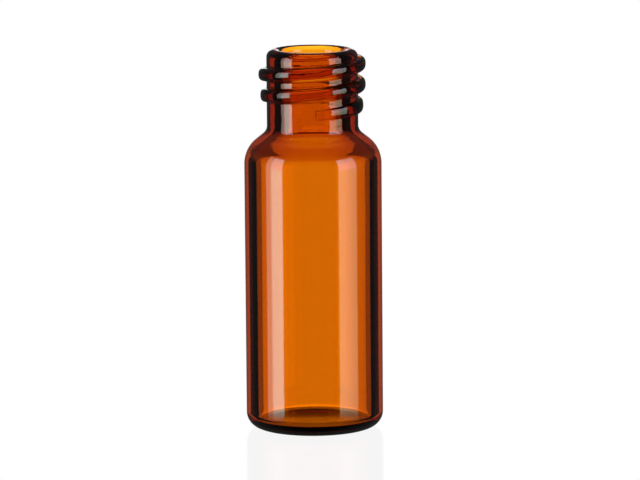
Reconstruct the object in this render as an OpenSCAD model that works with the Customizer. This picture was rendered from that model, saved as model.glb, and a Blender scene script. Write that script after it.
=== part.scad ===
// Screw-neck sample vial, drawn from one length of amber glass tube.
// Units are millimetres. The origin is the centre of the base, +Z is up,
// and the thread starts at the front, on the -Y side.

/* [Body] */
// Outside diameter of the straight body
body_d = 11.5; // [10.5:0.1:20]
// Height from the base to the rim
total_h = 32.0; // [26:0.1:60]
// Thickness of the body wall
wall_t = 0.98; // [0.7:0.02:1.3]

/* [Base] */
// Rounding of the outside heel, where the wall turns under
heel_r = 1.3; // [0.8:0.05:1.6]
// Rounding inside, where the wall meets the floor
floor_r = 0.4; // [0.3:0.05:1.2]
// Height of the inside floor at its edge
floor_h = 0.9; // [0.8:0.05:1.6]
// Height of the hollow under the base, at its centre
hollow_h = 0.1; // [0.05:0.05:0.4]
// Depth that the inside floor sinks towards its centre
dish_h = 0.12; // [0.04:0.02:0.3]
// Width of the flat ring that the vial stands on
ring_w = 0.9; // [0.4:0.1:1.5]

/* [Shoulder] */
// Outside radius of the shoulder, where the body turns in
shoulder_r = 2.7; // [1.8:0.1:3.2]
// Inside radius of the shoulder: a small one leaves thicker glass there
in_shoulder_r = 1.2; // [1.0:0.05:1.7]
// Radius of the hollow curve from the shoulder up to the neck
neck_fillet_r = 0.85; // [0.6:0.05:1.7]
// Slope of the shoulder between those two curves, from level
shoulder_slope = 38; // [30:1:45]
// Radius of the same hollow curve inside
bore_fillet_r = 2.0; // [1.0:0.1:2.3]

/* [Neck] */
// Outside diameter of the plain neck
neck_d = 7.65; // [7.1:0.05:7.8]
// Diameter of the straight bore through the neck
bore_d = 5.0; // [4.4:0.1:5.2]
// Height of the straight neck, up to the rim
neck_h = 6.4; // [6.3:0.1:9]
// Rounding of the rim outside
lip_r = 0.65; // [0.3:0.05:0.7]
// Rounding of the rim inside
mouth_r = 0.55; // [0.1:0.05:0.6]

/* [Thread] */
// Diameter over the crests
crest_d = 8.99; // [8.4:0.01:9.2]
// Rise of the rib in one turn
pitch = 1.75; // [1.6:0.05:1.8]
// Width of the rib where it leaves the neck
rib_w = 1.1; // [0.9:0.02:1.3]
// Height of the rib's centre line above the neck's foot, at its lower end
rib_z0 = 1.26; // [0.9:0.01:1.35]
// Angle that the rib covers, from its lower end to its upper one
rib_sweep = 848; // [700:2:900]
// Direction of the lower end, from +X towards +Y
rib_start = -88; // [-180:1:180]
// Share of its full height that the rib has at its blunt lower end
blunt = 0.2; // [0:0.05:0.5]
// Share of its full height that the rib has in its first turn
low_share = 0.66; // [0.5:0.02:1]
// Angle over which the lower end grows to that share
run_in = 80; // [40:5:140]
// Angle at which the rib has reached its full height
full_at = 600; // [300:20:620]
// Angle over which the upper end fades out
run_out = 40; // [30:5:180]

/* [Hidden] */
$fn = 128;

eps = 0.01;
body_r = body_d / 2;
neck_r = neck_d / 2;
bore_r = bore_d / 2;
cavity_r = body_r - wall_t;

// Outside: heel, shoulder arc, sloping line, hollow curve, neck.
turn = 90 - shoulder_slope;
neck_z = total_h - neck_h;
slope_l = ((body_r - shoulder_r * (1 - cos(turn)))
    - (neck_r + neck_fillet_r * (1 - cos(turn)))) / sin(turn);
shoulder_z = neck_z - (shoulder_r + neck_fillet_r) * sin(turn) - slope_l * cos(turn);

// Inside: the shoulder arc starts at the same height as the outside one.
in_slope_l = ((cavity_r - in_shoulder_r * (1 - cos(turn)))
    - (bore_r + bore_fillet_r * (1 - cos(turn)))) / sin(turn);
bore_z = shoulder_z + (in_shoulder_r + bore_fillet_r) * sin(turn) + in_slope_l * cos(turn);

// Radius of the sphere whose cap has this width and height.
function cap_r(half_w, h) = (half_w * half_w + h * h) / (2 * h);
hollow_half_w = body_r - heel_r - ring_w;
floor_half_w = cavity_r - floor_r;
land_r = neck_r - lip_r;
edge_r = min(mouth_r, land_r - bore_r - 0.02);

// Half outline of a bottle shape: a rounded foot, a straight side, a round
// shoulder, a straight slope, a hollow curve and a neck of radius top_r.
module bottle_outline(side_r, foot_z, foot_r, arc_r, top_r, fillet_r, fillet_z, top_z) {
    arc_x = side_r - arc_r;
    fillet_x = top_r + fillet_r;
    arc_end = [arc_x + arc_r * cos(turn), shoulder_z + arc_r * sin(turn)];
    fillet_end = [fillet_x - fillet_r * cos(turn), fillet_z - fillet_r * sin(turn)];
    translate([0, foot_z + foot_r]) square([side_r, shoulder_z - foot_z - foot_r]);
    translate([0, foot_z]) square([side_r - foot_r, foot_r + eps]);
    translate([side_r - foot_r, foot_z + foot_r]) circle(foot_r);
    translate([arc_x, shoulder_z]) circle(arc_r);
    difference() {
        polygon([[0, shoulder_z - eps], [arc_x, shoulder_z - eps], arc_end, fillet_end,
            [fillet_x, fillet_z], [top_r, fillet_z], [top_r, top_z], [0, top_z]]);
        translate([fillet_x, fillet_z]) circle(fillet_r);
    }
}

// The whole outside, with a rounded lip and the hollow under the base.
module outside() {
    hollow_r = cap_r(hollow_half_w, hollow_h);
    difference() {
        union() {
            bottle_outline(body_r, 0, heel_r, shoulder_r, neck_r, neck_fillet_r, neck_z, total_h - lip_r);
            square([land_r, total_h]);
            translate([land_r, total_h - lip_r]) circle(lip_r);
        }
        translate([0, hollow_h - hollow_r]) circle(hollow_r);
    }
}

// The space inside, open at the top: a dished floor below, a rounded edge at the mouth.
module inside() {
    dish_r = cap_r(floor_half_w, dish_h);
    bottle_outline(cavity_r, floor_h, floor_r, in_shoulder_r, bore_r, bore_fillet_r, bore_z, total_h + 1);
    intersection() {
        translate([0, floor_h - dish_h]) square([floor_half_w, dish_h + eps]);
        translate([0, floor_h - dish_h + dish_r]) circle(dish_r);
    }
    difference() {
        translate([0, total_h - edge_r]) square([bore_r + edge_r, edge_r + 1]);
        translate([bore_r + edge_r, total_h - edge_r]) circle(edge_r);
    }
}

module glass_tube() {
    rotate_extrude() intersection() {
        square([body_r, total_h]);
        difference() {
            outside();
            inside();
        }
    }
}

// The rib's section is half an ellipse, rooted a little inside the neck.
rib_step = 6;
rib_sides = 8;
rib_root = 0.4;
rib_sink = 0.06;
rib_steps = ceil(rib_sweep / rib_step);
tip_w = 0.5;

// Share of full height at an angle along the rib: low in its first turn, full above, 0 at its end.
function ease(t) = t <= 0 ? 0 : t >= 1 ? 1 : t * t * (3 - 2 * t);
function first_turn(a) = blunt + (low_share - blunt) * min(a / run_in, 1);
function growth(a) = (first_turn(a) + (1 - low_share) * ease((a - run_in) / (full_at - run_in)))
    * ease((rib_sweep - a) / run_out);

// One section of the rib at angle a along it, as points in space.
function rib_section(a) = let(
    g = growth(a),
    half_w = rib_w / 2 * (tip_w + (1 - tip_w) * min(2 * g, 1)),
    h = (crest_d / 2 - neck_r + rib_sink) * g,
    z = neck_z + rib_z0 + pitch * a / 360,
    root_r = neck_r - rib_root,
    arc = [for (j = [0:rib_sides]) let(b = -90 + 180 * j / rib_sides)
        [neck_r - rib_sink + h * cos(b), z + half_w * sin(b)]],
    outline = concat([[root_r, z - half_w]], arc, [[root_r, z + half_w]]),
    d = rib_start + a)
    [for (p = outline) [p[0] * cos(d), p[0] * sin(d), p[1]]];

// Skin of a tube that joins a row of sections, each with n points.
function skin_faces(rows, n) = concat(
    [[for (j = [n - 1:-1:0]) j]],
    [for (i = [0:rows - 2], j = [0:n - 1]) let(
        a = i * n + j,
        b = i * n + (j + 1) % n)
        each [[a, b + n, a + n], [a, b, b + n]]],
    [[for (j = [0:n - 1]) (rows - 1) * n + j]]);

module thread_rib() {
    sections = [for (i = [0:rib_steps]) rib_section(rib_sweep * i / rib_steps)];
    polyhedron(
        points = [for (s = sections) each s],
        faces = skin_faces(rib_steps + 1, rib_sides + 3));
}

module vial() {
    color([0.70, 0.31, 0.03]) union() {
        glass_tube();
        thread_rib();
    }
}

vial();
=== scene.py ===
# %% [markdown]
# # A screw-neck sample vial in amber glass
#
# The whole object is one piece of glass, so the whole picture depends on two things: a clean closed skin,
# inside and outside, and a studio that gives the glass something to bend and reflect.

# %% Load the frame
import math

import bmesh
import bpy
from mathutils import Matrix, Vector


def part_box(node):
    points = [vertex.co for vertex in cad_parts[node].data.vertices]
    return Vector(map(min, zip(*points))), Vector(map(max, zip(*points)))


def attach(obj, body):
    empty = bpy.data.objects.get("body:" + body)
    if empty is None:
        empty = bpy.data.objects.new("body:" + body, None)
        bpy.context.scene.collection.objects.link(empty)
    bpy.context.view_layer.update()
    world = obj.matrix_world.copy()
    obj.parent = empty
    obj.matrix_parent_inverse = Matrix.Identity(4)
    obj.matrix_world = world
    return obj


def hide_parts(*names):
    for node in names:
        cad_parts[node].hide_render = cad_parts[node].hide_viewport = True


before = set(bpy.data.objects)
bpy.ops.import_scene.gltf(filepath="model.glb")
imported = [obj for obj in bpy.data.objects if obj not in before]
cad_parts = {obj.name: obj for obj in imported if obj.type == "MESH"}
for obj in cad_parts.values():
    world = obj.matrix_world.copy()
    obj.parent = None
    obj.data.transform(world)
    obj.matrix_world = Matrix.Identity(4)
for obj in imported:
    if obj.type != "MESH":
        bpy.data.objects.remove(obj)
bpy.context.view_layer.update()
VIAL_LOW, VIAL_HIGH = (Vector(corner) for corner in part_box("vial"))
MM = 0.001
print("vial, mm:", [round(size / MM, 2) for size in VIAL_HIGH - VIAL_LOW])

# %% [markdown]
# ## Sizes
#
# The height and the body's width are read from the frame. The rest are the sizes that the glass was formed
# to, in metres: the wall, the roundings of heel, shoulder and rim, and the neck with its bore. Each one is
# written once, and everything below is worked out from them.

# %% Sizes of the glass
TOTAL_H = VIAL_HIGH.z
BODY_R = VIAL_HIGH.x
CAVITY_R = BODY_R - 0.98 * MM
HEEL_R = 1.3 * MM
FLOOR_R = 0.4 * MM
FLOOR_H = 0.9 * MM
HOLLOW_H = 0.1 * MM
DISH_H = 0.12 * MM
RING_W = 0.9 * MM
SHOULDER_R = 2.7 * MM
IN_SHOULDER_R = 1.2 * MM
SLOPE = math.radians(38)
NECK_FILLET_R = 0.85 * MM
BORE_FILLET_R = 2.0 * MM
NECK_R = 3.825 * MM
BORE_R = 2.5 * MM
NECK_Z = TOTAL_H - 6.4 * MM
LIP_R = 0.65 * MM
MOUTH_R = 0.55 * MM

# %% [markdown]
# ## The outline
#
# A drawn vial is round everywhere but at its thread, so most of its skin is one outline turned about the
# axis. The outline is made of straight runs and arcs that meet smoothly. `arc` gives the points of one arc,
# and each corner is rounded with the radius that the real glass has, because glass has no sharp edges: it is
# the roundings that catch the light.

# %% Arcs and the two outlines
TURN = math.pi / 2 - SLOPE


def arc(centre, radius, first, last, steps=12):
    """Points of an arc in the (radius, height) plane, from one angle to another, in radians."""
    points = []
    for step in range(steps + 1):
        angle = first + (last - first) * step / steps
        points.append((centre[0] + radius * math.cos(angle), centre[1] + radius * math.sin(angle)))
    return points


def cap(half_width, height, base_z, steps=10):
    """Points of a shallow dome from its edge to its middle, on the axis. A negative height makes a dish."""
    radius = (half_width ** 2 + height ** 2) / (2 * height)
    half_angle = math.asin(half_width / radius)
    centre = (0, base_z + height - radius)
    return arc(centre, radius, math.pi / 2 - half_angle, math.pi / 2, steps)


def rise(side_r, arc_r, top_r, fillet_r):
    """Height from the start of a shoulder's arc to the end of the hollow curve above it."""
    across = (side_r - arc_r * (1 - math.cos(TURN))) - (top_r + fillet_r * (1 - math.cos(TURN)))
    slope = across / math.sin(TURN)
    return (arc_r + fillet_r) * math.sin(TURN) + slope * math.cos(TURN)


SHOULDER_Z = NECK_Z - rise(BODY_R, SHOULDER_R, NECK_R, NECK_FILLET_R)
BORE_Z = SHOULDER_Z + rise(CAVITY_R, IN_SHOULDER_R, BORE_R, BORE_FILLET_R)
print("the shoulder starts at", round(SHOULDER_Z / MM, 3), "mm and the bore at", round(BORE_Z / MM, 3), "mm")


def straight(start, end, steps):
    """Points strictly between two points, so that a long wall has even rows."""
    return [tuple(a + (b - a) * step / steps for a, b in zip(start, end)) for step in range(1, steps)]


def lower_outline():
    """Base, heel, body and outside shoulder, from the axis to the foot of the neck."""
    heel = arc((BODY_R - HEEL_R, HEEL_R), HEEL_R, -math.pi / 2, 0)
    shoulder = arc((BODY_R - SHOULDER_R, SHOULDER_Z), SHOULDER_R, 0, TURN, 16)
    fillet = arc((NECK_R + NECK_FILLET_R, NECK_Z), NECK_FILLET_R, math.pi + TURN, math.pi)
    hollow = cap(BODY_R - HEEL_R - RING_W, HOLLOW_H, 0)[::-1]
    return hollow + heel + straight(heel[-1], shoulder[0], 12) + shoulder + fillet


def upper_outline():
    """Lip, mouth, bore, inside shoulder, cavity and floor, from the top of the neck to the axis."""
    lip = arc((NECK_R - LIP_R, TOTAL_H - LIP_R), LIP_R, 0, math.pi / 2)
    mouth = arc((BORE_R + MOUTH_R, TOTAL_H - MOUTH_R), MOUTH_R, math.pi / 2, math.pi, 8)
    fillet = arc((BORE_R + BORE_FILLET_R, BORE_Z), BORE_FILLET_R, math.pi, math.pi + TURN)
    shoulder = arc((CAVITY_R - IN_SHOULDER_R, SHOULDER_Z), IN_SHOULDER_R, TURN, 0)
    corner = arc((CAVITY_R - FLOOR_R, FLOOR_H + FLOOR_R), FLOOR_R, 0, -math.pi / 2)
    dish = cap(CAVITY_R - FLOOR_R, -DISH_H, FLOOR_H)
    return (lip + mouth + straight(mouth[-1], fillet[0], 6) + fillet
            + shoulder + straight(shoulder[-1], corner[0], 12) + corner[:-1] + dish)


def outline_object(name, points):
    """A row of joined points in the XZ plane, which the node tree reads by index."""
    mesh = bpy.data.meshes.new(name)
    edges = [(i, i + 1) for i in range(len(points) - 1)]
    mesh.from_pydata([(radius, 0, height) for radius, height in points], edges, [])
    return bpy.data.objects.new(name, mesh)


lower = outline_object("lower_outline", lower_outline())
upper = outline_object("upper_outline", upper_outline())
print("outline points:", len(lower.data.vertices), "below the neck,", len(upper.data.vertices), "above it")

# %% [markdown]
# ## The thread
#
# The rib follows a rule: it climbs one pitch in each turn. It starts bluntly at the front, soon has two
# thirds of its height, grows to all of it over the next turn and a quarter, and fades back into the neck at
# its upper end. A rib modelled apart and sunk into the neck would leave two walls crossing inside the glass,
# and light would show them. So the neck's skin is one long ribbon, one pitch wide, wound round the neck like
# tape, and the rib is a swelling along its middle. Geometry Nodes suit this: a flat grid gives the ribbon,
# and a formula moves each of its points.

# %% Sizes of the thread
PITCH = 1.75 * MM
RIB_H = 0.67 * MM
RIB_W = 1.1 * MM
RIB_Z = NECK_Z + 1.26 * MM
RIB_POWER = 2.6
RIB_START = math.radians(-88)
# Along the rib, in degrees, and the share of its full height that it has there.
RIB_SHARES = [(0, 0), (9, 0.28), (28, 0.32), (80, 0.64), (150, 0.68), (600, 1), (808, 0.97), (848, 0)]
RIB_SWEEP = math.radians(RIB_SHARES[-1][0])
TIP_W = 0.5
ROOT_FILLET = 0.12 * MM
CREST_ROWS = 0.66
ROOT_ROWS = 0.84
SEGMENTS = 192
RIBBON_ROWS = 37

# %% [markdown]
# ## Helpers for node trees
#
# The same three helpers serve the shape, the material and the studio. `add` makes a node, `feed` fills one of
# its inputs with a number or with another node's output, and `calc` is one step of arithmetic.

# %% Node helpers


def feed(tree, socket, value):
    """Put a plain value in an input, or wire another node's output to it."""
    if isinstance(value, bpy.types.NodeSocket):
        tree.links.new(value, socket)
    else:
        socket.default_value = value


def add(tree, kind, inputs=None, **settings):
    """Make a node, set its options, and fill its inputs by name or number."""
    node = tree.nodes.new(kind)
    for name, value in settings.items():
        setattr(node, name, value)
    for key, value in (inputs or {}).items():
        feed(tree, node.inputs[key], value)
    return node


def calc(tree, operation, *values, clamp=False):
    """One step of arithmetic on numbers or outputs."""
    node = add(tree, "ShaderNodeMath", dict(enumerate(values)), operation=operation, use_clamp=clamp)
    return node.outputs[0]


def ramp(tree, value, low, high, start=0.0, end=1.0, smooth=False):
    """A value that goes from start to end while the input goes from low to high, and stays there."""
    node = add(tree, "ShaderNodeMapRange", {0: value, 1: low, 2: high, 3: start, 4: end},
               interpolation_type="SMOOTHSTEP" if smooth else "LINEAR")
    return node.outputs[0]


# %% The node tree for the glass skin


def grid(tree, rows, columns):
    """A flat grid, with the row and the column of each of its points."""
    mesh = add(tree, "GeometryNodeMeshGrid", {"Vertices X": rows, "Vertices Y": columns})
    index = add(tree, "GeometryNodeInputIndex").outputs[0]
    row = calc(tree, "FLOOR", calc(tree, "DIVIDE", calc(tree, "ADD", index, 0.5), columns))
    column = calc(tree, "SUBTRACT", index, calc(tree, "MULTIPLY", row, columns))
    return mesh.outputs["Mesh"], row, column


def place(tree, mesh, radius, height, angle):
    """Move each point of a grid to its radius, height and angle about the axis."""
    flat = add(tree, "ShaderNodeCombineXYZ", {"X": radius, "Z": height}).outputs[0]
    turned = add(tree, "ShaderNodeVectorRotate", {"Vector": flat, "Angle": angle}, rotation_type="Z_AXIS")
    moved = add(tree, "GeometryNodeSetPosition", {"Geometry": mesh, "Position": turned.outputs[0]})
    return moved.outputs[0]


def turned_outline(tree, outline, segments, start):
    """An outline turned a whole round about the axis."""
    points = add(tree, "GeometryNodeObjectInfo", {"Object": outline}).outputs["Geometry"]
    count = add(tree, "GeometryNodeAttributeDomainSize", {"Geometry": points}).outputs["Point Count"]
    mesh, row, column = grid(tree, count, calc(tree, "ADD", segments, 1))
    here = add(tree, "GeometryNodeInputPosition").outputs[0]
    sample = add(tree, "GeometryNodeSampleIndex", {"Geometry": points, "Index": row},
                 data_type="FLOAT_VECTOR")
    feed(tree, sample.inputs["Value"], here)
    parts = add(tree, "ShaderNodeSeparateXYZ", {0: sample.outputs["Value"]})
    step = calc(tree, "DIVIDE", math.tau, segments)
    angle = calc(tree, "MULTIPLY_ADD", column, step, start)
    return place(tree, mesh, parts.outputs["X"], parts.outputs["Z"], angle)


def height_share(tree, way):
    """The share of its full height that the rib has, at 0 to 1 of the way along it."""
    node = add(tree, "ShaderNodeFloatCurve", {"Value": way})
    curve = node.mapping.curves[0]
    last_angle = RIB_SHARES[-1][0]
    for number, (angle, share) in enumerate(RIB_SHARES):
        if number < 2:
            curve.points[number].location = (angle / last_angle, share)
        else:
            curve.points.new(angle / last_angle, share)
    for point in curve.points:
        point.handle_type = "AUTO_CLAMPED"
    node.mapping.update()
    return node.outputs[0]


def thread_ribbon(tree, size):
    """The neck's skin as a wound ribbon with the rib along its middle."""
    step = calc(tree, "DIVIDE", math.tau, size["Segments"])
    half_pitch = calc(tree, "MULTIPLY", size["Pitch"], 0.5)
    below = calc(tree, "ADD", calc(tree, "SUBTRACT", size["Rib Foot"], size["Neck Foot"]), half_pitch)
    above = calc(tree, "ADD", calc(tree, "SUBTRACT", size["Neck Top"], size["Rib Foot"]), half_pitch)
    per_pitch = calc(tree, "DIVIDE", size["Segments"], size["Pitch"])
    first = calc(tree, "CEIL", calc(tree, "MULTIPLY", below, per_pitch))
    last = calc(tree, "CEIL", calc(tree, "MULTIPLY", above, per_pitch))
    columns = calc(tree, "ADD", calc(tree, "ADD", first, last), 1)
    mesh, column, row = grid(tree, columns, size["Ribbon Rows"])
    along = calc(tree, "MULTIPLY", calc(tree, "SUBTRACT", column, first), step)

    growth = height_share(tree, calc(tree, "DIVIDE", along, size["Rib Sweep"], clamp=True))
    width_share = ramp(tree, growth, 0, 0.5, size["Tip Width"], 1)

    last_row = calc(tree, "SUBTRACT", size["Ribbon Rows"], 1)
    across = calc(tree, "MULTIPLY_ADD", calc(tree, "DIVIDE", row, last_row), 2, -1)
    side = calc(tree, "SIGN", across)
    share = calc(tree, "ABSOLUTE", across)
    crown = ramp(tree, share, 0, CREST_ROWS, 0, math.pi / 2)
    root = ramp(tree, share, CREST_ROWS, ROOT_ROWS, 0, math.pi / 2)
    flat = ramp(tree, share, ROOT_ROWS, 1)

    half_w = calc(tree, "MULTIPLY", calc(tree, "MULTIPLY", size["Rib Width"], 0.5), width_share)
    fillet = calc(tree, "MULTIPLY", size["Root Fillet"], growth)
    full = calc(tree, "MULTIPLY", size["Rib Height"], growth)
    height = calc(tree, "SUBTRACT", full, fillet)
    spare = calc(tree, "SUBTRACT", calc(tree, "SUBTRACT", half_pitch, half_w), fillet)
    bulge = calc(tree, "DIVIDE", 2, size["Rib Power"])
    off = calc(tree, "MULTIPLY", half_w, calc(tree, "POWER", calc(tree, "SINE", crown), bulge))
    off = calc(tree, "MULTIPLY_ADD", fillet, calc(tree, "SUBTRACT", 1, calc(tree, "COSINE", root)), off)
    off = calc(tree, "MULTIPLY_ADD", spare, flat, off)
    up = calc(tree, "MAXIMUM", calc(tree, "COSINE", crown), 0)
    out = calc(tree, "MULTIPLY", height, calc(tree, "POWER", up, bulge))
    out = calc(tree, "MULTIPLY_ADD", fillet, calc(tree, "SUBTRACT", 1, calc(tree, "SINE", root)), out)

    turns = calc(tree, "DIVIDE", along, math.tau)
    centre = calc(tree, "MULTIPLY_ADD", turns, size["Pitch"], size["Rib Foot"])
    level = calc(tree, "MULTIPLY_ADD", side, off, centre)
    level = calc(tree, "MAXIMUM", calc(tree, "MINIMUM", level, size["Neck Top"]), size["Neck Foot"])
    radius = calc(tree, "ADD", size["Neck Radius"], out)
    return place(tree, mesh, radius, level, calc(tree, "ADD", along, size["Rib Start"]))


GLASS_SIZES = {
    "Segments": SEGMENTS, "Ribbon Rows": RIBBON_ROWS, "Neck Radius": NECK_R, "Neck Foot": NECK_Z,
    "Neck Top": TOTAL_H - LIP_R, "Pitch": PITCH, "Rib Height": RIB_H, "Rib Width": RIB_W, "Rib Foot": RIB_Z,
    "Rib Start": RIB_START, "Rib Sweep": RIB_SWEEP, "Tip Width": TIP_W, "Root Fillet": ROOT_FILLET,
    "Rib Power": RIB_POWER}


def glass_tree(material):
    """The tree: two turned outlines and the ribbon between them, welded into one closed skin."""
    tree = bpy.data.node_groups.new("glass skin", "GeometryNodeTree")
    tree.interface.new_socket("Lower Outline", in_out="INPUT", socket_type="NodeSocketObject")
    tree.interface.new_socket("Upper Outline", in_out="INPUT", socket_type="NodeSocketObject")
    for name, value in GLASS_SIZES.items():
        kind = "NodeSocketInt" if isinstance(value, int) else "NodeSocketFloat"
        tree.interface.new_socket(name, in_out="INPUT", socket_type=kind)
    tree.interface.new_socket("Glass", in_out="OUTPUT", socket_type="NodeSocketGeometry")
    size = add(tree, "NodeGroupInput").outputs
    pieces = add(tree, "GeometryNodeJoinGeometry")
    for outline in ("Lower Outline", "Upper Outline"):
        turned = turned_outline(tree, size[outline], size["Segments"], size["Rib Start"])
        tree.links.new(turned, pieces.inputs[0])
    tree.links.new(thread_ribbon(tree, size), pieces.inputs[0])
    welded = add(tree, "GeometryNodeMergeByDistance", {"Geometry": pieces.outputs[0], "Distance": 1e-7})
    real = add(tree, "GeometryNodeRealizeInstances", {0: welded.outputs[0]})
    smooth = add(tree, "GeometryNodeSetShadeSmooth", {"Geometry": real.outputs[0]})
    painted = add(tree, "GeometryNodeSetMaterial", {"Geometry": smooth.outputs[0], "Material": material})
    add(tree, "NodeGroupOutput", {0: painted.outputs[0]})
    return tree


# %% [markdown]
# ## Amber glass
#
# Amber glass is clear on its surface and coloured all through: where light crosses more glass, it comes out
# darker and redder. A tinted surface can't do that. So the surface is plain clear glass, and the colour is a
# Volume Absorption that takes most of the blue, much of the green and little of the red in each millimetre.
#
# The surface isn't quite true either. A drawn tube keeps faint waves along its length, and the neck, which is
# rolled against a tool while it is soft, keeps fine level ripples. Both are stretched noise in one Bump: the
# waves are at most four thousandths of a millimetre deep, and the ripples three hundredths.

# %% The glass material
ABSORBED_PER_MM = (0.385, 1.18, 3.9)
DRAWN_WAVE = 1.1 * MM
DRAWN_STRETCH = 12
DRAWN_DEPTH = 0.004 * MM
ROLLED_WAVE = 0.5 * MM
ROLLED_STRETCH = 6
ROLLED_DEPTH = 0.03 * MM
FADE_BELOW = 0.6 * MM
FADE_ABOVE = 0.4 * MM


def waves(tree, place, around, along, detail=1):
    """Noise from 0 to 1 with its own wavelength round the glass and along it."""
    scale = (1 / around, 1 / around, 1 / along)
    stretched = add(tree, "ShaderNodeMapping", {"Vector": place, "Scale": scale}).outputs[0]
    return add(tree, "ShaderNodeTexNoise", {"Vector": stretched, "Scale": 1.0, "Detail": detail}).outputs[0]


def worked_surface(tree):
    """Normals of glass worked hot: long waves in the drawn tube, and level ripples on the rolled neck."""
    place = add(tree, "ShaderNodeTexCoord").outputs["Object"]
    height = add(tree, "ShaderNodeSeparateXYZ", {0: place}).outputs["Z"]
    drawn = calc(tree, "MULTIPLY", waves(tree, place, DRAWN_WAVE, DRAWN_STRETCH * DRAWN_WAVE), DRAWN_DEPTH)
    ripples = waves(tree, place, ROLLED_STRETCH * ROLLED_WAVE, ROLLED_WAVE, 2)
    rolled = calc(tree, "MULTIPLY", ripples, ROLLED_DEPTH)
    at_neck = ramp(tree, height, NECK_Z - FADE_BELOW, NECK_Z + FADE_ABOVE, smooth=True)
    relief = calc(tree, "MULTIPLY_ADD", rolled, at_neck, drawn)
    return add(tree, "ShaderNodeBump", {"Height": relief, "Distance": 1.0}).outputs[0]


def amber_glass():
    material = bpy.data.materials.new("amber_glass")
    material.use_nodes = True
    tree = material.node_tree
    tree.nodes.clear()
    shader = add(tree, "ShaderNodeBsdfPrincipled", {
        "Base Color": (1, 1, 1, 1), "Roughness": 0.0, "IOR": 1.5, "Transmission Weight": 1.0,
        "Normal": worked_surface(tree)})
    strongest = max(ABSORBED_PER_MM)
    passed = [1 - share / strongest for share in ABSORBED_PER_MM]
    depth = add(tree, "ShaderNodeVolumeAbsorption", {
        "Color": (*passed, 1), "Density": strongest / MM})
    add(tree, "ShaderNodeOutputMaterial", {"Surface": shader.outputs[0], "Volume": depth.outputs[0]})
    return material


# %% Make the vial


def apply_nodes(name, tree, values):
    """Run a tree on an empty object and keep the result as a plain mesh."""
    piece = bpy.data.objects.new(name, bpy.data.meshes.new(name))
    bpy.context.scene.collection.objects.link(piece)
    modifier = piece.modifiers.new("shape", "NODES")
    modifier.node_group = tree
    for item in tree.interface.items_tree:
        if item.in_out == "INPUT":
            modifier[item.identifier] = values[item.name]
    ready = piece.evaluated_get(bpy.context.evaluated_depsgraph_get())
    mesh = bpy.data.meshes.new_from_object(ready)
    piece.modifiers.remove(modifier)
    piece.data = mesh
    return piece


def close_skin(piece):
    """Turn every face outwards, and give the number of open edges and the volume."""
    work = bmesh.new()
    work.from_mesh(piece.data)
    bmesh.ops.dissolve_degenerate(work, edges=work.edges, dist=1e-8)
    bmesh.ops.recalc_face_normals(work, faces=work.faces)
    open_edges = sum(1 for edge in work.edges if not edge.is_manifold)
    volume = work.calc_volume(signed=True)
    work.to_mesh(piece.data)
    work.free()
    return open_edges, volume


glass = apply_nodes("vial_glass", glass_tree(amber_glass()),
                    {"Lower Outline": lower, "Upper Outline": upper, **GLASS_SIZES})
open_edges, volume = close_skin(glass)
for helper in (lower, upper):
    bpy.data.objects.remove(helper)
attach(glass, "root")
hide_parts("vial")
triangles = sum(len(face.vertices) - 2 for face in glass.data.polygons)
print("glass:", triangles, "triangles,", open_edges, "open edges,", round(volume / MM ** 3, 1), "mm3")

# %% [markdown]
# ## The studio
#
# Glass has no look of its own: it shows what is behind it and what stands around it. A bright ground behind
# lights it through, dark sides draw its edges, and two tall soft boxes in front leave the long highlights.
# All of these are painted on the sky as bands of directions: a bearing is an angle round the vial, 0 in front
# and growing to the right, and a level is an angle above the horizon, both in degrees.
#
# On a real table, cards and flags keep each light to its own job. Here Light Path does that, so this sky
# isn't one that a real room could have: light that goes straight through the glass sees the bright ground,
# and light that the glass mirrors sees the boxes. What is mirrored off the outside sees only a narrow strip
# of the bright back, so that the outline stays dark.

# %% Helpers for bands of light
def band(tree, angle, low, high, soft=1.5):
    """1 while an angle in degrees is between two others, and 0 outside, with soft edges."""
    opening = ramp(tree, angle, low - soft, low + soft, smooth=True)
    closing = ramp(tree, angle, high - soft, high + soft, 1, 0, smooth=True)
    return calc(tree, "MULTIPLY", opening, closing)


def window(tree, sky, centre, half, low, high):
    """1 in a patch of sky round one bearing, and 0 outside it."""
    off = calc(tree, "SUBTRACT", sky["bearing"], centre)
    off = calc(tree, "ABSOLUTE", calc(tree, "WRAP", off, 180, -180))
    return calc(tree, "MULTIPLY", band(tree, off, -10, half), band(tree, sky["level"], low, high, 3))


def lit(tree, amount, colour, behind):
    """A colour times an amount, added to what is there already."""
    light = add(tree, "ShaderNodeVectorMath", {0: colour, "Scale": amount}, operation="SCALE").outputs[0]
    return add(tree, "ShaderNodeVectorMath", {0: light, 1: behind}, operation="ADD").outputs[0]


def pick(tree, factor, first, second):
    """The first colour where the factor is 0 and the second where it is 1."""
    return add(tree, "ShaderNodeMix", {0: factor, 4: first, 5: second}, data_type="VECTOR").outputs[1]


# %% What the glass looks through to
# Each patch of ground is a bearing, half its width, and its lowest and highest level.
WHITE = (1, 1, 1)
DARK = (0.003, 0.003, 0.003)
GROUND = 1.6
BACK_GROUND = (180, 20, -50, 40)
WIDE_GROUND = (180, 60, -50, 40)
WIDE_SHARE = 0.4
SIDE_GROUNDS = [(-90, 28, -24, 15), (45, 30, -36, 4), (-135, 13, -50, -10)]
NEAR_LEVELS = (-28, -14)
NEAR_GAIN = 1.6


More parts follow.
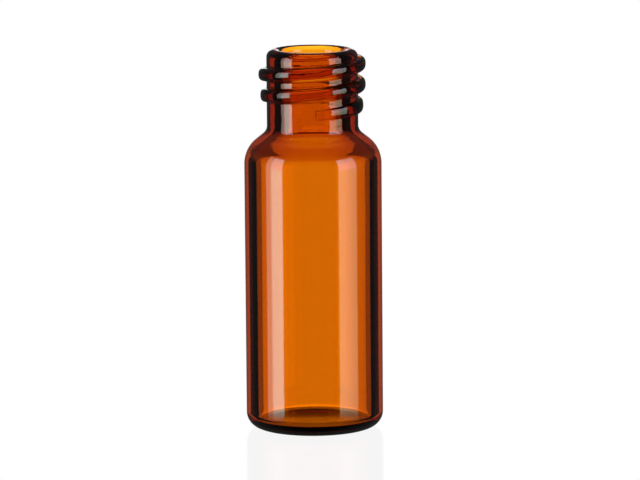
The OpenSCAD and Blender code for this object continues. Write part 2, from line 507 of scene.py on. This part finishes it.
def seen_through(tree, sky):
    """The ground: bright at the back, weaker further round, patches at the sides, brighter low down."""
    spread = calc(tree, "MULTIPLY", window(tree, sky, *WIDE_GROUND), WIDE_SHARE)
    ground = calc(tree, "MAXIMUM", window(tree, sky, *BACK_GROUND), spread)
    for patch in SIDE_GROUNDS:
        ground = calc(tree, "MAXIMUM", ground, window(tree, sky, *patch))
    near = ramp(tree, sky["level"], *NEAR_LEVELS, NEAR_GAIN, 1, smooth=True)
    strength = calc(tree, "MULTIPLY", ground, calc(tree, "MULTIPLY", near, GROUND))
    return lit(tree, strength, WHITE, DARK)


# %% What the glass mirrors: the back
BACK = 1.3
BACK_BEARINGS = (180, -90, 45)
BACK_HALF = 20
BACK_LEVELS = (-24, 12)
RIM_STRIP = (180, 7, -3, 6.5)


def mirrored_back(tree, sky):
    """Bright patches for light that bounces inside the glass, and one narrow strip for the outside."""
    back = window(tree, sky, BACK_BEARINGS[0], BACK_HALF, *BACK_LEVELS)
    for bearing in BACK_BEARINGS[1:]:
        back = calc(tree, "MAXIMUM", back, window(tree, sky, bearing, BACK_HALF, *BACK_LEVELS))
    back = pick(tree, sky["outside"], back, window(tree, sky, *RIM_STRIP))
    return calc(tree, "MULTIPLY", back, BACK)


# %% What the glass mirrors: the soft boxes
# Bearings of the boxes' edges, and of the seam where the left one turns from its side to its front.
LEFT_BOX = (-86, -53)
LEFT_SEAM = (-77, -73)
RIGHT_BOX = (43.5, 78.5)
RIGHT_FADE = 0.65
BOX_LEVELS = (-13, 31)
# Red, green and blue of each box as the straight walls mirror it, below the first of these levels, and as the
# shoulder mirrors it, above the second. The walls have their own, because bright amber shows through there.
TURN_LEVELS = (-6, 2)
LEFT_FRONT = [(3.9, 6.6, 6.0), (4.6, 5.0, 5.2)]
LEFT_SIDE = (2.8, 2.5, 2.2)
RIGHT = [(3.1, 4.0, 2.6), (4.6, 4.6, 4.9)]


def mirrored_boxes(tree, sky, behind):
    """The two soft boxes, added to what is there already."""
    high = band(tree, sky["level"], *BOX_LEVELS)
    left = calc(tree, "MULTIPLY", band(tree, sky["bearing"], *LEFT_BOX), high)
    right = calc(tree, "MULTIPLY", band(tree, sky["bearing"], *RIGHT_BOX), high)
    left_front = calc(tree, "MULTIPLY", left, ramp(tree, sky["bearing"], *LEFT_SEAM))
    left_side = calc(tree, "SUBTRACT", left, left_front)
    right = calc(tree, "MULTIPLY", right, ramp(tree, sky["bearing"], *RIGHT_BOX, 1, RIGHT_FADE))
    upward = ramp(tree, sky["level"], *TURN_LEVELS)
    light = lit(tree, left_front, pick(tree, upward, *LEFT_FRONT), behind)
    light = lit(tree, left_side, LEFT_SIDE, light)
    return lit(tree, right, pick(tree, upward, *RIGHT), light)


# %% Everything that the glass mirrors
HAZE_BEARINGS = (30, 110)
HAZE = (0.01, 0.07)
ABOVE_LEVELS = (8, 20)
ABOVE_GLOW = 0.36
ABOVE_COLOUR = (1, 0.9, 0.8)


def mirrored(tree, sky):
    """A little haze at the sides, the back, the boxes, and for light inside the glass a glow above."""
    side = ramp(tree, calc(tree, "ABSOLUTE", sky["bearing"]), *HAZE_BEARINGS, *HAZE)
    light = lit(tree, calc(tree, "MULTIPLY", sky["outside"], side), WHITE, DARK)
    light = lit(tree, mirrored_back(tree, sky), WHITE, light)
    light = mirrored_boxes(tree, sky, light)
    # The floor's sheen is a little rough and the glass is not: that tells their mirror images apart.
    from_floor = calc(tree, "SUBTRACT", sky["outside"], sky["sharp"], clamp=True)
    light = pick(tree, from_floor, light, WHITE)
    inside = calc(tree, "SUBTRACT", 1, sky["outside"])
    above = calc(tree, "MULTIPLY", ramp(tree, sky["level"], *ABOVE_LEVELS), inside)
    return lit(tree, calc(tree, "MULTIPLY", above, ABOVE_GLOW), ABOVE_COLOUR, light)


# %% The sky
def studio():
    world = bpy.data.worlds.new("studio")
    world.use_nodes = True
    world.cycles.sampling_method = "NONE"
    tree = world.node_tree
    tree.nodes.clear()
    look = add(tree, "ShaderNodeTexCoord").outputs["Generated"]
    axes = add(tree, "ShaderNodeSeparateXYZ", {0: look}).outputs
    path = add(tree, "ShaderNodeLightPath").outputs
    across = calc(tree, "ARCTAN2", axes["X"], calc(tree, "MULTIPLY", axes["Y"], -1))
    sky = {
        "bearing": calc(tree, "DEGREES", across),
        "level": calc(tree, "DEGREES", calc(tree, "ARCSINE", axes["Z"])),
        "outside": calc(tree, "LESS_THAN", path["Transmission Depth"], 0.5),
        "sharp": path["Is Singular Ray"]}
    bounced = calc(tree, "GREATER_THAN", path["Glossy Depth"], 0.5)
    seen = pick(tree, bounced, seen_through(tree, sky), mirrored(tree, sky))
    seen = pick(tree, path["Is Camera Ray"], seen, WHITE)
    light = add(tree, "ShaderNodeBackground", {"Color": seen})
    add(tree, "ShaderNodeOutputWorld", {"Surface": light.outputs[0]})
    print("studio:", len(tree.nodes), "nodes")
    return world


bpy.context.scene.world = studio()

# %% [markdown]
# ## The ground
#
# The vial stands on white acrylic, so bright that it has no shadow, with a faint mirror image of the heel. It
# is a glowing sheet with a little gloss, and only the camera sees it. What the base looks down at is a second
# sheet, small, round and half as bright, just under the vial, and only light that passes through the glass
# reaches it: the ground there gets less light, because the vial stands in its way.

# %% The floor
FLOOR_SHEEN = 0.09
FLOOR_ROUGHNESS = 0.08
FLOOR_DROP = 0.01 * MM
FLOOR_REACH = 40 * TOTAL_H


def white_acrylic():
    material = bpy.data.materials.new("white_acrylic")
    material.use_nodes = True
    tree = material.node_tree
    tree.nodes.clear()
    glow = add(tree, "ShaderNodeEmission", {"Color": (1, 1, 1, 1)})
    sheen = add(tree, "ShaderNodeBsdfGlossy", {"Color": (1, 1, 1, 1), "Roughness": FLOOR_ROUGHNESS})
    both = add(tree, "ShaderNodeMixShader", {0: FLOOR_SHEEN, 1: glow.outputs[0], 2: sheen.outputs[0]})
    add(tree, "ShaderNodeOutputMaterial", {"Surface": both.outputs[0]})
    return material


floor_mesh = bpy.data.meshes.new("floor")
corners = [(-FLOOR_REACH, -FLOOR_REACH, 0), (FLOOR_REACH, -FLOOR_REACH, 0),
           (FLOOR_REACH, FLOOR_REACH, 0), (-FLOOR_REACH, FLOOR_REACH, 0)]
floor_mesh.from_pydata(corners, [], [(0, 1, 2, 3)])
floor = bpy.data.objects.new("floor", floor_mesh)
floor.data.materials.append(white_acrylic())
floor.location.z = -FLOOR_DROP
floor.visible_transmission = False
floor.visible_glossy = False
bpy.context.scene.collection.objects.link(floor)
print("floor:", round(2 * FLOOR_REACH, 2), "m square")

# %% The dim patch under the vial
PATCH_R = BODY_R - HEEL_R / 2
PATCH_DROP = 0.005 * MM
PATCH_GLOW = (0.5, 0.5, 0.5, 1)


def patch_under():
    material = bpy.data.materials.new("shade")
    material.use_nodes = True
    tree = material.node_tree
    tree.nodes.clear()
    dim = add(tree, "ShaderNodeEmission", {"Color": PATCH_GLOW})
    add(tree, "ShaderNodeOutputMaterial", {"Surface": dim.outputs[0]})
    mesh = bpy.data.meshes.new("shade")
    work = bmesh.new()
    bmesh.ops.create_circle(work, cap_ends=True, segments=64, radius=PATCH_R)
    work.to_mesh(mesh)
    work.free()
    patch = bpy.data.objects.new("shade", mesh)
    patch.location.z = -PATCH_DROP
    mesh.materials.append(material)
    patch.visible_camera = False
    patch.visible_glossy = False
    bpy.context.scene.collection.objects.link(patch)


patch_under()
print("patch:", round(2 * PATCH_R / MM, 2), "mm across")

# %% [markdown]
# ## The camera
#
# A small object is best seen from about 40 cm with a long lens, from a little above, so that the rim shows as
# a narrow ellipse and the walls stay upright. The colours are shown as they are, without a film curve.

# %% Camera
CAMERA_AWAY = 0.4194
CAMERA_PITCH = math.radians(8.95)
CAMERA_ROLL = math.radians(-0.45)
LENS = 281.0
AIM = Vector((0.542 * MM, 0, 15.855 * MM))


def camera():
    data = bpy.data.cameras.new("camera")
    data.lens = LENS
    data.clip_start = 0.01
    item = bpy.data.objects.new("camera", data)
    bpy.context.scene.collection.objects.link(item)
    towards = Vector((0, math.cos(CAMERA_PITCH), -math.sin(CAMERA_PITCH)))
    item.location = AIM - towards * CAMERA_AWAY
    facing = towards.to_track_quat("-Z", "Y").to_matrix() @ Matrix.Rotation(CAMERA_ROLL, 3, "Z")
    item.rotation_euler = facing.to_euler()
    return item


bpy.context.scene.camera = camera()
bpy.context.scene.view_settings.view_transform = "Standard"
